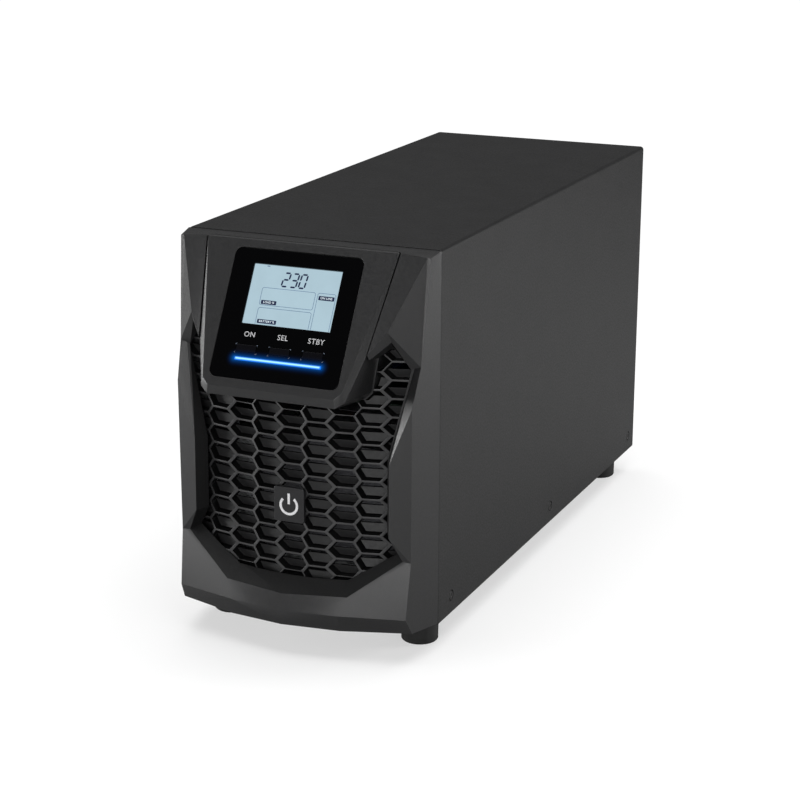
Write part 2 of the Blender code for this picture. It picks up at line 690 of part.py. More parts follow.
# ---------------------------------------------------------------- batteries
def build_batteries():
    for number, y in enumerate(BATTERY_Y, 1):
        half = BATTERY[0] / 2.0
        body = box("battery_%d" % number, (-half, half), (y, y + BATTERY[1]),
                   (TRAY_SHEET + 0.8, TRAY_SHEET + 0.8 + BATTERY[2]), battery_case())
        for sx in (-1, 1):
            x = sorted((sx * (half - 14.0), sx * (half - 7.0)))
            top = TRAY_SHEET + 0.8 + BATTERY[2]
            weld(body, box("terminal", x, (y + 10.0, y + 11.0), (top - 2.0, top + 6.0),
                           battery_case()))
    low = TRAY_SHEET + 0.8 + BATTERY[2] + GAP
    strap = box("battery_strap", (-60.0, -40.0), (8.0, 226.0), (low, low + 1.5), zinc_steel())
    for y in (8.0, 224.5):
        weld(strap, box("strap_leg", (-60.0, -40.0), (y, y + 1.5),
                        (TRAY_SHEET + 0.6, low + 1.0), zinc_steel()))
    return strap


def lead(name, points, radius, mat):
    """Insulated lead on a smooth curve through its points."""
    samples = []
    count = len(points)
    for i in range(count - 1):
        p0 = Vector(points[max(i - 1, 0)])
        p1 = Vector(points[i])
        p2 = Vector(points[i + 1])
        p3 = Vector(points[min(i + 2, count - 1)])
        for step in range(6):
            t = step / 6.0
            samples.append(0.5 * ((2 * p1) + (p2 - p0) * t
                                  + (2 * p0 - 5 * p1 + 4 * p2 - p3) * t * t
                                  + (3 * p1 - p0 - 3 * p2 + p3) * t * t * t))
    samples.append(Vector(points[-1]))
    curve = bpy.data.curves.new(name, "CURVE")
    curve.dimensions = "3D"
    curve.bevel_depth = radius * MM
    curve.bevel_resolution = 2
    curve.use_fill_caps = True
    spline = curve.splines.new("POLY")
    spline.points.add(len(samples) - 1)
    for point, sample in zip(spline.points, samples):
        point.co = (*case_point(*sample), 1.0)
    curve.materials.append(mat)
    obj = bpy.data.objects.new(name, curve)
    bpy.context.scene.collection.objects.link(obj)
    return obj


def build_leads():
    lead("battery_lead_red", [(61.0, 163.5, 106.0), (61.0, 175.0, 111.0), (61.0, 200.0, 112.0),
                              (61.0, 226.0, 112.0), (60.0, 240.0, 118.0)], 1.8, red_wire())
    lead("battery_lead_black", [(-68.0, 27.5, 106.0), (-68.0, 45.0, 111.0), (-68.0, 110.0, 112.0),
                                (-68.0, 200.0, 112.0), (-68.0, 226.0, 112.0),
                                (-67.0, 240.0, 118.0)], 1.8, black_wire())


# ---------------------------------------------------------------- power stage
BOARD_Z = 122.0


def build_power_stage():
    box("power_board", (-72.0, 72.0), (20.0, 332.0), (BOARD_Z, BOARD_Z + 1.6), board_green())
    for name, x in (("heatsink_left", -58.0), ("heatsink_right", 40.0)):
        fins = 6
        sink = box(name, (x, x + 20.0), (60.0, 230.0), (BOARD_Z + 2.0, BOARD_Z + 6.0),
                   aluminium())
        for fin in range(fins):
            left = x + fin * (20.0 - 1.6) / (fins - 1)
            weld(sink, box("fin", (left, left + 1.6), (60.0, 230.0),
                           (BOARD_Z + 5.0, BOARD_Z + 46.0), aluminium()))
    core = turned("main_inductor", [(0.0, 46.0), (11.0, 46.0), (30.0, 46.0), (30.0, 74.0),
                                    (11.0, 74.0), (0.0, 74.0)], (0.0, BOARD_Z + 33.0), "Y",
                  copper_winding(), 24)
    cut(core, prism("core_bore", circle(0.0, BOARD_Z + 33.0, 10.0, 20), 40.0, 80.0, "Y",
                    copper_winding()))
    for number, y in enumerate((100.0, 138.0, 176.0), 1):
        low = BOARD_Z + 2.0
        turned("capacitor_%d" % number, [(0.0, low), (15.0, low), (15.0, low + 43.0),
                                         (14.0, low + 45.0), (0.0, low + 45.0)],
               (0.0, y), "Z", gloss_black(), 24)
    box("control_board", (-64.0, -62.4), (240.0, 320.0), (BOARD_Z + 8.0, BOARD_Z + 70.0),
        board_green())
    choke = box("charger_transformer", (8.0, 48.0), (250.0, 288.0),
                (BOARD_Z + 2.0, BOARD_Z + 34.0), copper_winding())
    return choke


# ---------------------------------------------------------------- fan
def build_fan():
    front = PANEL_Y - GAP - FAN_DEPTH
    rear = PANEL_Y - GAP
    frame = prism("fan_frame", rounded_rectangle(FAN_X, FAN_Z, FAN_SIZE, FAN_SIZE, 4.0),
                  front, rear, "Y", socket_black(),
                  holes=(circle(FAN_X, FAN_Z, FAN_BORE, 36),))
    hub = prism("fan_hub", circle(FAN_X, FAN_Z, 15.0, 24), front, front + 2.0, "Y",
                socket_black())
    for spoke in range(4):
        angle = math.radians(45.0 + 90.0 * spoke)
        ux, uz = math.cos(angle), math.sin(angle)
        px, pz = -uz * 2.0, ux * 2.0
        outline = [(FAN_X + ux * 12.0 + px, FAN_Z + uz * 12.0 + pz),
                   (FAN_X + ux * 12.0 - px, FAN_Z + uz * 12.0 - pz),
                   (FAN_X + ux * 40.0 - px, FAN_Z + uz * 40.0 - pz),
                   (FAN_X + ux * 40.0 + px, FAN_Z + uz * 40.0 + pz)]
        weld(hub, prism("spoke", outline, front, front + 2.0, "Y", socket_black()))
    weld(frame, hub)
    rotor_front = front + 2.6
    rotor = turned("fan_rotor", [(0.0, rotor_front), (16.0, rotor_front),
                                 (16.0, rear - 1.6), (15.0, rear - 0.8), (0.0, rear - 0.8)],
                   (FAN_X, FAN_Z), "Y", socket_black(), 24)
    for blade in range(BLADES):
        weld(rotor, fan_blade(2.0 * math.pi * blade / BLADES, rotor_front + 1.0, rear - 3.0))
    place_origin(rotor, case_point(FAN_X, front + 2.6, FAN_Z))
    guard = fan_guard(PANEL_Y + TRAY_SHEET + GAP)
    return frame, rotor, guard


def fan_blade(angle, low, high):
    """Twisted blade from the hub to just inside the bore."""
    bm = bmesh.new()
    rings = []
    for radius, sweep in ((14.5, 0.0), (25.0, 0.10), (36.4, 0.22)):
        chord = math.radians(30.0)
        ring = []
        for along, turn in ((low, 0.0), (high, chord)):
            for thick in (-0.7, 0.7):
                direction = angle + sweep + turn + thick / radius
                ring.append(bm.verts.new(case_point(FAN_X + radius * math.cos(direction), along,
                                                    FAN_Z + radius * math.sin(direction))))
        rings.append([ring[0], ring[1], ring[3], ring[2]])
    for lower, upper in zip(rings, rings[1:]):
        for i in range(4):
            j = (i + 1) % 4
            bm.faces.new((lower[i], lower[j], upper[j], upper[i]))
    bm.faces.new(rings[0])
    bm.faces.new(rings[-1])
    bmesh.ops.triangulate(bm, faces=bm.faces)
    return finish_mesh("blade", bm, socket_black())


def fan_guard(low):
    """Finger guard stamped from sheet: rings joined by four arms and screw tabs."""
    high = low + 1.6
    guard = prism("fan_guard", circle(FAN_X, FAN_Z, 37.5, 32), low, high, "Y", zinc_steel(),
                  holes=(circle(FAN_X, FAN_Z, 35.5, 32),))
    for radius in (28.5, 20.5, 12.5):
        ring = prism("guard_ring", circle(FAN_X, FAN_Z, radius, 24), low, high, "Y",
                     zinc_steel(), holes=(circle(FAN_X, FAN_Z, radius - 2.0, 24),))
        guard = join_meshes(guard, ring)
    for arm in range(4):
        angle = math.radians(45.0 + 90.0 * arm)
        ux, uz = math.cos(angle), math.sin(angle)
        px, pz = -uz * 1.5, ux * 1.5
        outline = [(FAN_X + ux * 11.0 + px, FAN_Z + uz * 11.0 + pz),
                   (FAN_X + ux * 11.0 - px, FAN_Z + uz * 11.0 - pz),
                   (FAN_X + ux * 53.0 - px, FAN_Z + uz * 53.0 - pz),
                   (FAN_X + ux * 53.0 + px, FAN_Z + uz * 53.0 + pz)]
        weld(guard, prism("guard_arm", outline, low, high, "Y", zinc_steel()))
    return guard


def join_meshes(first, second):
    """Put the second object's mesh into the first, still as a separate body."""
    bm = bmesh.new()
    bm.from_mesh(first.data)
    bm.from_mesh(second.data)
    bm.to_mesh(first.data)
    bm.free()
    bpy.data.objects.remove(second, do_unlink=True)
    return first


# ---------------------------------------------------------------- rear panel and its fittings
OUTLETS = ((-52.0, 74.0), (-18.0, 74.0), (-52.0, 38.0), (-18.0, 38.0))
INLET = (44.0, 52.0)
BREAKER = (44.0, 92.0)
USB = (-14.0, 108.0)
SERIAL = (-46.0, 108.0)
SLOT = (42.0, 166.0)
SLOT_SIZE = (40.0, 84.0)
BATTERY_PORT = (44.0, 22.0)
OUTLET_SIZE = (28.0, 24.0)
PANEL_SCREWS = ((-70.0, 8.0), (70.0, 8.0), (-70.0, 214.0), (70.0, 214.0))


def build_rear_panel():
    half = HALF - SHEET - GAP
    top = COVER_HEIGHT - SHEET - 3.0 * GAP
    outline = [(-half, 1.4), (half, 1.4), (half, top), (-half, top)]
    holes = [circle(FAN_X, FAN_Z, 36.0, 32)]
    for x, z in OUTLETS:
        holes.append(rectangle(x, z, OUTLET_SIZE[0], OUTLET_SIZE[1]))
    holes.append(rectangle(*INLET, 28.0, 22.0))
    holes.append(circle(*BREAKER, 5.6, 16))
    holes.append(rectangle(*USB, 12.6, 11.6))
    holes.append(rectangle(*SERIAL, 20.0, 11.0))
    holes.append(rectangle(*SLOT, *SLOT_SIZE))
    holes.append(rectangle(*BATTERY_PORT, 32.0, 17.0))
    for x, z in PANEL_SCREWS:
        holes.append(circle(x, z, 1.9, 10))
    for dx, dz in ((-35.75, -35.75), (35.75, -35.75), (-35.75, 35.75), (35.75, 35.75)):
        holes.append(circle(FAN_X + dx, FAN_Z + dz, 2.0, 10))
    return prism("rear_panel", outline, PANEL_Y, PANEL_Y + TRAY_SHEET, "Y", cover_paint(),
                 holes=holes)


def flanged(name, centre, body, flange, proud, depth, mat, radius=1.5):
    """Socket body through the panel, with a flange that rests on the panel's outside."""
    outside = PANEL_Y + TRAY_SHEET + GAP
    piece = prism(name, rounded_rectangle(*centre, *flange, radius, 3), outside,
                  outside + proud, "Y", mat)
    weld(piece, prism("body", rectangle(*centre, *body), PANEL_Y - depth, outside + 0.5, "Y",
                      mat))
    return piece


def build_outlets():
    for number, (x, z) in enumerate(OUTLETS, 1):
        outlet = flanged("outlet_%d" % number, (x, z), (27.0, 23.0), (31.0, 27.0), 2.6, 20.0,
                         socket_black())
        outside = PANEL_Y + TRAY_SHEET + GAP + 2.6
        groove = prism("groove", rectangle(x, z, 25.0, 19.0), outside - 1.2, outside + 2.0, "Y",
                       socket_black(), holes=(rectangle(x, z, 22.0, 16.0),))
        cut(outlet, groove)
        for dx, dz in ((-7.0, -2.0), (7.0, -2.0), (0.0, 3.0)):
            cut(outlet, prism("contact", rectangle(x + dx, z + dz, 2.6, 6.4), outside - 12.0,
                              outside + 2.0, "Y", socket_black()))


def build_inlet():
    """Appliance inlet: recess with three blades, so a lead's connector goes in."""
    x, z = INLET
    inlet = flanged("mains_inlet", INLET, (27.0, 21.0), (48.0, 24.0), 2.6, 22.0, socket_black(),
                    3.0)
    outside = PANEL_Y + TRAY_SHEET + GAP + 2.6
    cut(inlet, prism("recess", rectangle(x, z, 24.0, 16.5), outside - 17.0, outside + 2.0, "Y",
                     socket_black()))
    for dx, dz in ((-7.0, -2.0), (7.0, -2.0), (0.0, 2.6)):
        weld(inlet, prism("blade", rectangle(x + dx, z + dz, 2.0, 4.0), outside - 18.0,
                          outside - 3.0, "Y", zinc_steel()))
    return inlet


def build_breaker():
    """Reset breaker: threaded neck through the panel and a push button in its bore."""
    outside = PANEL_Y + TRAY_SHEET + GAP
    body = prism("breaker_body", circle(*BREAKER, 8.0, 20), outside, outside + 2.2, "Y",
                 socket_black(), smooth_angle=35.0)
    weld(body, prism("neck", circle(*BREAKER, 5.2, 20), PANEL_Y - 3.0, outside + 1.0, "Y",
                     socket_black()))
    weld(body, prism("block", rectangle(*BREAKER, 14.0, 26.0), PANEL_Y - 30.0, PANEL_Y - 2.0,
                     "Y", socket_black()))
    cut(body, prism("bore", circle(*BREAKER, 3.6, 20), PANEL_Y - 10.0, outside + 4.0, "Y",
                    socket_black()))
    button = turned("breaker_button", [(0.0, PANEL_Y - 5.0), (3.2, PANEL_Y - 5.0),
                                       (3.2, PANEL_Y + 4.7), (2.6, PANEL_Y + 5.3),
                                       (0.0, PANEL_Y + 5.3)], BREAKER, "Y", socket_black(), 20)
    place_origin(button, case_point(BREAKER[0], PANEL_Y - 5.0, BREAKER[1]))
    return body


def build_ports():
    usb = flanged("usb_port", USB, (12.0, 11.0), (15.0, 14.0), 1.0, 16.0, zinc_steel(), 0.8)
    outside = PANEL_Y + TRAY_SHEET + GAP + 1.0
    cut(usb, prism("usb_mouth", rectangle(*USB, 8.5, 7.8), outside - 9.0, outside + 2.0, "Y",
                   zinc_steel(), holes=(rectangle(*USB, 5.4, 3.2),)))
    serial = flanged("serial_port", SERIAL, (18.8, 10.4), (31.0, 12.6), 1.2, 10.0, zinc_steel(),
                     1.5)
    weld(serial, prism("serial_shell", rounded_rectangle(*SERIAL, 17.0, 8.4, 2.0, 3),
                       outside, outside + 3.6, "Y", zinc_steel()))
    for row, (count, dz) in enumerate(((5, 1.4), (4, -1.4))):
        for pin in range(count):
            px = SERIAL[0] + (pin - (count - 1) / 2.0) * 2.76
            cut(serial, prism("pin_hole", circle(px, SERIAL[1] + dz, 0.6, 6), outside + 1.0,
                              outside + 6.0, "Y", zinc_steel()))
    port = flanged("battery_port", BATTERY_PORT, (31.0, 16.0), (44.0, 19.0), 2.0, 18.0,
                   socket_black(), 1.5)
    outside = PANEL_Y + TRAY_SHEET + GAP + 2.0
    for dx in (-7.6, 7.6):
        cut(port, prism("pole", rectangle(BATTERY_PORT[0] + dx, BATTERY_PORT[1], 12.0, 10.0),
                        outside - 12.0, outside + 2.0, "Y", socket_black()))
    return port


def build_slot_cover():
    outside = PANEL_Y + TRAY_SHEET + GAP
    prism("slot_cover", rounded_rectangle(*SLOT, 46.0, 92.0, 1.0, 2), outside, outside + 1.2,
          "Y", cover_paint(),
          holes=(circle(SLOT[0], SLOT[1] + 43.8, 1.4, 10), circle(SLOT[0], SLOT[1] - 43.8, 1.4, 10)))
    for name, dz in (("slot_screw_top", 43.8), ("slot_screw_bottom", -43.8)):
        head = outside + 1.2 + GAP
        turned(name, [(0.0, head + 2.0), (1.0, head + 2.0), (1.0, head + 1.4), (2.4, head + 1.9),
                      (2.8, head), (1.1, head), (1.1, outside + 0.1), (0.0, outside + 0.1)],
               (SLOT[0], SLOT[1] + dz), "Y", zinc_steel(), 16)


def build_panel_screws():
    names = ("low_left", "low_right", "high_left", "high_right")
    for name, (x, z) in zip(names, PANEL_SCREWS):
        head = PANEL_Y + TRAY_SHEET + GAP
        turned("panel_screw_" + name,
               [(0.0, head + 1.8), (1.0, head + 1.8), (1.0, head + 1.0), (2.4, head + 1.6),
                (3.0, head), (1.5, head), (1.5, head - 5.0), (0.0, head - 5.0)], (x, z), "Y",
               zinc_steel(), 16)


def main():
    clear_scene()
    build_cover()
    build_tray()
    build_cover_screws()
    build_feet()
    build_bezel()
    build_grille()
    build_badge()
    build_shield()
    build_display()
    build_batteries()
    build_leads()
    build_power_stage()
    build_fan()
    build_rear_panel()
    build_outlets()
    build_inlet()
    build_breaker()
    build_ports()
    build_slot_cover()
    build_panel_screws()


main()
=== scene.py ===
"""Looks of the tower uninterruptible power supply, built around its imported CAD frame."""
import json
import math

import bmesh
import bpy
from mathutils import Matrix, Quaternion, Vector


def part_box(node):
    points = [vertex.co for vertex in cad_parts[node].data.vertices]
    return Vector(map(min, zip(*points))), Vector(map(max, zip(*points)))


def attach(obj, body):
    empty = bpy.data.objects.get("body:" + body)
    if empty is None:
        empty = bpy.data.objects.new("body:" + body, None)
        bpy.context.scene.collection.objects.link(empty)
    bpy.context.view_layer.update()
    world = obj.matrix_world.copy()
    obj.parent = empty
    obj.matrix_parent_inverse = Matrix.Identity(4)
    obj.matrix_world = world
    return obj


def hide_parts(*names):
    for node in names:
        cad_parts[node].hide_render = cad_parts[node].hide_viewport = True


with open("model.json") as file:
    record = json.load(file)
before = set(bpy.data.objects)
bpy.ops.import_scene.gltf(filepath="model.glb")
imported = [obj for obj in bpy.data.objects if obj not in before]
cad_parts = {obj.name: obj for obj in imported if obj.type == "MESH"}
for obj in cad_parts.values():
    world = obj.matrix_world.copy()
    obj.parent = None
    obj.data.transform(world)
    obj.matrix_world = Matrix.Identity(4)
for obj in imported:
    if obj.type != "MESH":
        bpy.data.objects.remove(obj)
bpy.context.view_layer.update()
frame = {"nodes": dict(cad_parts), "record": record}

NODES = frame["nodes"]
MM = 0.001


# ---------------------------------------------------------------- camera, light and stage
CAMERA_PLACE = (0.5090, -1.2332, 0.4867)
CAMERA_LENS = 96.02
CAMERA_YAW = 23.013
CAMERA_PITCH = 16.175
CAMERA_ROLL = 0.317

# The floor turns plain white between these two distances from the part's middle, in metres.
FLOOR_FADE = (0.45, 0.95)
FLOOR_HALF = 9.0
BACKDROP = 1.04
AMBIENT = 0.12
# name, place, target, size across and up, power in watts
LIGHTS = (
    ("overhead", (0.0, 0.1, 2.6), (0.0, 0.1, 0.0), (3.0, 3.0), 83.0),
    ("right_panel", (1.5, -0.62, 0.42), (0.05, -0.15, 0.16), (0.7, 0.5), 3.1),
    ("rear_right_panel", (1.15, 0.62, 0.36), (0.08, -0.17, 0.18), (0.45, 0.5), 9.5),
    ("left_panel", (-1.5, -0.65, 0.2), (-0.07, -0.15, 0.08), (1.4, 0.6), 24.0),
    ("front_box", (0.5, -2.2, 0.45), (0.0, -0.15, 0.12), (1.2, 0.8), 22.0),
)


def make_camera():
    data = bpy.data.cameras.new("camera")
    data.sensor_width = 36.0
    data.lens = CAMERA_LENS
    data.clip_start = 0.05
    data.clip_end = 40.0
    cam = bpy.data.objects.new("camera", data)
    bpy.context.scene.collection.objects.link(cam)
    turn = Quaternion((0, 0, 1), math.radians(CAMERA_YAW))
    tilt = Quaternion((1, 0, 0), math.radians(90.0 - CAMERA_PITCH))
    roll = Quaternion((0, 0, 1), math.radians(CAMERA_ROLL))
    cam.rotation_mode = "QUATERNION"
    cam.rotation_quaternion = turn @ tilt @ roll
    cam.location = CAMERA_PLACE
    bpy.context.scene.camera = cam


def area_light(name, location, target, size, power):
    data = bpy.data.lights.new(name, "AREA")
    data.shape = "RECTANGLE"
    data.size, data.size_y = size
    data.energy = power
    lamp = bpy.data.objects.new(name, data)
    bpy.context.scene.collection.objects.link(lamp)
    lamp.location = location
    direction = Vector(target) - Vector(location)
    lamp.rotation_mode = "QUATERNION"
    lamp.rotation_quaternion = direction.to_track_quat("-Z", "Y")


def make_world():
    """White for the camera, a dim even grey for what the case reflects."""
    world = bpy.data.worlds.new("studio")
    world.use_nodes = True
    tree = world.node_tree
    tree.nodes.clear()
    seen = tree.nodes.new("ShaderNodeBackground")
    seen.inputs["Color"].default_value = (1.0, 1.0, 1.0, 1.0)
    seen.inputs["Strength"].default_value = BACKDROP
    ambient = tree.nodes.new("ShaderNodeBackground")
    ambient.inputs["Color"].default_value = (1.0, 1.0, 1.0, 1.0)
    ambient.inputs["Strength"].default_value = AMBIENT
    path = tree.nodes.new("ShaderNodeLightPath")
    mix = tree.nodes.new("ShaderNodeMixShader")
    out = tree.nodes.new("ShaderNodeOutputWorld")
    tree.links.new(path.outputs["Is Camera Ray"], mix.inputs["Fac"])
    tree.links.new(ambient.outputs[0], mix.inputs[1])
    tree.links.new(seen.outputs[0], mix.inputs[2])
    tree.links.new(mix.outputs[0], out.inputs["Surface"])
    bpy.context.scene.world = world


def floor_material():
    """Pale matt floor: plain white away from the case, greyer in what the case reflects."""
    mat = bpy.data.materials.new("studio_floor")
    mat.use_nodes = True
    tree = mat.node_tree
    seen = tree.nodes["Principled BSDF"]
    reflected = tree.nodes.new("ShaderNodeBsdfDiffuse")
    seen.inputs["Base Color"].default_value = (0.93, 0.93, 0.93, 1.0)
    seen.inputs["Roughness"].default_value = 0.9
    seen.inputs["Specular IOR Level"].default_value = 0.0
    reflected.inputs["Color"].default_value = (0.36, 0.36, 0.36, 1.0)
    coords = tree.nodes.new("ShaderNodeTexCoord")
    length = tree.nodes.new("ShaderNodeVectorMath")
    length.operation = "LENGTH"
    fade = tree.nodes.new("ShaderNodeMapRange")
    fade.inputs["From Min"].default_value, fade.inputs["From Max"].default_value = FLOOR_FADE
    fade.inputs["To Min"].default_value = 0.5
    path = tree.nodes.new("ShaderNodeLightPath")
    white = tree.nodes.new("ShaderNodeEmission")
    white.inputs["Color"].default_value = (1.0, 1.0, 1.0, 1.0)
    white.inputs["Strength"].default_value = BACKDROP
    near_or_far = tree.nodes.new("ShaderNodeMixShader")
    by_ray = tree.nodes.new("ShaderNodeMixShader")
    out = tree.nodes["Material Output"]
    tree.links.new(coords.outputs["Object"], length.inputs[0])
    tree.links.new(length.outputs["Value"], fade.inputs["Value"])
    tree.links.new(fade.outputs["Result"], near_or_far.inputs["Fac"])
    tree.links.new(seen.outputs[0], near_or_far.inputs[1])
    tree.links.new(white.outputs[0], near_or_far.inputs[2])
    tree.links.new(path.outputs["Is Camera Ray"], by_ray.inputs["Fac"])
    tree.links.new(reflected.outputs[0], by_ray.inputs[1])
    tree.links.new(near_or_far.outputs[0], by_ray.inputs[2])
    tree.links.new(by_ray.outputs[0], out.inputs["Surface"])
    return mat


def make_stage():
    scene = bpy.context.scene
    scene.view_settings.view_transform = "Standard"
    make_world()
    mesh = bpy.data.meshes.new("studio_floor")
    bm = bmesh.new()
    bmesh.ops.create_grid(bm, x_segments=4, y_segments=4, size=FLOOR_HALF)
    bm.to_mesh(mesh)
    bm.free()
    floor = bpy.data.objects.new("studio_floor", mesh)
    scene.collection.objects.link(floor)
    mesh.materials.append(floor_material())
    for light in LIGHTS:
        area_light(*light)


# ---------------------------------------------------------------- materials
class Paint:
    """A Principled material with small helpers for procedural detail."""

    def __init__(self, name, colour, roughness, metallic=0.0):
        self.material = bpy.data.materials.new(name)
        self.material.use_nodes = True
        self.tree = self.material.node_tree
        self.shader = self.tree.nodes["Principled BSDF"]
        self.set("Base Color", (*colour, 1.0))
        self.set("Roughness", roughness)
        self.set("Metallic", metallic)
        self.material.diffuse_color = (*colour, 1.0)
        self.coords = self.tree.nodes.new("ShaderNodeTexCoord")

    def set(self, socket, value):
        self.shader.inputs[socket].default_value = value

    def noise(self, scale, detail=3.0, stretch=(1.0, 1.0, 1.0)):
        """Noise with about `scale` cells in a metre, stretched along the axes."""
        mapping = self.tree.nodes.new("ShaderNodeMapping")
        mapping.inputs["Scale"].default_value = stretch
        node = self.tree.nodes.new("ShaderNodeTexNoise")
        node.inputs["Scale"].default_value = scale
        node.inputs["Detail"].default_value = detail
        self.tree.links.new(self.coords.outputs["Object"], mapping.inputs["Vector"])
        self.tree.links.new(mapping.outputs["Vector"], node.inputs["Vector"])
        return node.outputs["Fac"]

    def ramp(self, source, low, high, low_value, high_value):
        node = self.tree.nodes.new("ShaderNodeMapRange")
        node.inputs["From Min"].default_value = low
        node.inputs["From Max"].default_value = high
        node.inputs["To Min"].default_value = low_value
        node.inputs["To Max"].default_value = high_value
        self.tree.links.new(source, node.inputs["Value"])
        return node.outputs["Result"]

    def vary_colour(self, source, dark, light, low=0.35, high=0.65):
        node = self.tree.nodes.new("ShaderNodeMix")
        node.data_type = "RGBA"
        node.inputs["A"].default_value = (*dark, 1.0)
        node.inputs["B"].default_value = (*light, 1.0)
        self.tree.links.new(self.ramp(source, low, high, 0.0, 1.0), node.inputs["Factor"])
        self.tree.links.new(node.outputs["Result"], self.shader.inputs["Base Color"])

    def vary_roughness(self, source, smooth, rough, low=0.35, high=0.65):
        self.tree.links.new(self.ramp(source, low, high, smooth, rough),
                            self.shader.inputs["Roughness"])

    def bump(self, source, strength, distance):
        node = self.tree.nodes.new("ShaderNodeBump")
        node.inputs["Strength"].default_value = strength
        node.inputs["Distance"].default_value = distance
        self.tree.links.new(source, node.inputs["Height"])
        self.tree.links.new(node.outputs["Normal"], self.shader.inputs["Normal"])

    def math(self, operation, first, second=0.0):
        node = self.tree.nodes.new("ShaderNodeMath")
        node.operation = operation
        for socket, value in zip(node.inputs, (first, second)):
            if isinstance(value, float):
                socket.default_value = value
            else:
                self.tree.links.new(value, socket)
        return node.outputs[0]

    def distance_from_bar(self, slope, bar_u, bar_v, half_length):
        """Millimetres in the display's plane from the middle line of the light bar."""
        dot = self.tree.nodes.new("ShaderNodeVectorMath")
        dot.operation = "DOT_PRODUCT"
        dot.inputs[1].default_value = slope.down / MM
        split = self.tree.nodes.new("ShaderNodeSeparateXYZ")
        self.tree.links.new(self.coords.outputs["Object"], dot.inputs[0])
        self.tree.links.new(self.coords.outputs["Object"], split.inputs[0])
        start = slope.origin.dot(slope.down) / MM + bar_v
        down = self.math("SUBTRACT", dot.outputs["Value"], start)
        along = self.math("SUBTRACT", self.math("MULTIPLY", split.outputs[0], 1.0 / MM), bar_u)
        across = self.math("ABSOLUTE", along)
        beyond = self.math("MAXIMUM", self.math("SUBTRACT", across, half_length), 0.0)
        square = self.math("ADD", self.math("MULTIPLY", down, down),
                           self.math("MULTIPLY", beyond, beyond))
        return self.math("SQRT", square)

    def glow_by(self, share, near, far, strength):
        """Light that goes from far to near as share goes from 0 to 1."""
        node = self.tree.nodes.new("ShaderNodeMix")
        node.data_type = "RGBA"
        node.inputs["A"].default_value = (*far, 1.0)
        node.inputs["B"].default_value = (*near, 1.0)
        self.tree.links.new(share, node.inputs["Factor"])
        self.tree.links.new(node.outputs["Result"], self.shader.inputs["Emission Color"])
        self.set("Emission Strength", strength)

    def glow(self, colour, strength):
        self.set("Emission Color", (*colour, 1.0))
        self.set("Emission Strength", strength)


def scaled(colour, factor):
    return tuple(channel * factor for channel in colour)


def powder_coat(name, colour, roughness=0.42):
    paint = Paint(name, colour, roughness)
    paint.set("Specular IOR Level", 0.26)
    paint.vary_colour(paint.noise(60.0), scaled(colour, 0.88), scaled(colour, 1.12))
    paint.vary_roughness(paint.noise(900.0), roughness - 0.05, roughness + 0.06)
    paint.bump(paint.noise(1800.0, 2.0), 0.12, 0.0004)
    return paint.material


def moulded_plastic(name, colour, roughness=0.5, grain=0.18, specular=0.5):
    paint = Paint(name, colour, roughness)
    paint.set("Specular IOR Level", specular)
    paint.vary_colour(paint.noise(2600.0, 2.0), scaled(colour, 0.8), scaled(colour, 1.25))
    paint.vary_roughness(paint.noise(700.0), roughness - 0.05, roughness + 0.05)
    paint.bump(paint.noise(2600.0, 2.0), grain, 0.0003)
    return paint.material


def gloss_plastic(name, colour, roughness=0.08, specular=0.5):
    paint = Paint(name, colour, roughness)
    paint.set("Specular IOR Level", specular)
    paint.vary_colour(paint.noise(40.0), scaled(colour, 0.9), scaled(colour, 1.1))
    paint.vary_roughness(paint.noise(25.0), roughness * 0.8, roughness * 1.3)
    return paint.material


def metal(name, colour, roughness=0.35, brushed=(1.0, 1.0, 1.0)):
    paint = Paint(name, colour, roughness, 1.0)
    paint.vary_colour(paint.noise(30.0), scaled(colour, 0.85), colour)
    paint.vary_roughness(paint.noise(300.0, 4.0, brushed), roughness - 0.1, roughness + 0.12)
    return paint.material


def rubber_material(name, colour, roughness=0.75):
    paint = Paint(name, colour, roughness)
    paint.vary_colour(paint.noise(300.0), scaled(colour, 0.8), scaled(colour, 1.3))
    paint.bump(paint.noise(1500.0), 0.2, 0.0003)
    return paint.material


def glowing(name, colour, strength, roughness=0.25):
    """A lit face: the light in it is plain, the dim body under it is not."""
    paint = Paint(name, scaled(colour, 0.08), roughness)
    paint.vary_colour(paint.noise(80.0), scaled(colour, 0.06), scaled(colour, 0.10))
    paint.glow(colour, strength)
    return paint.material


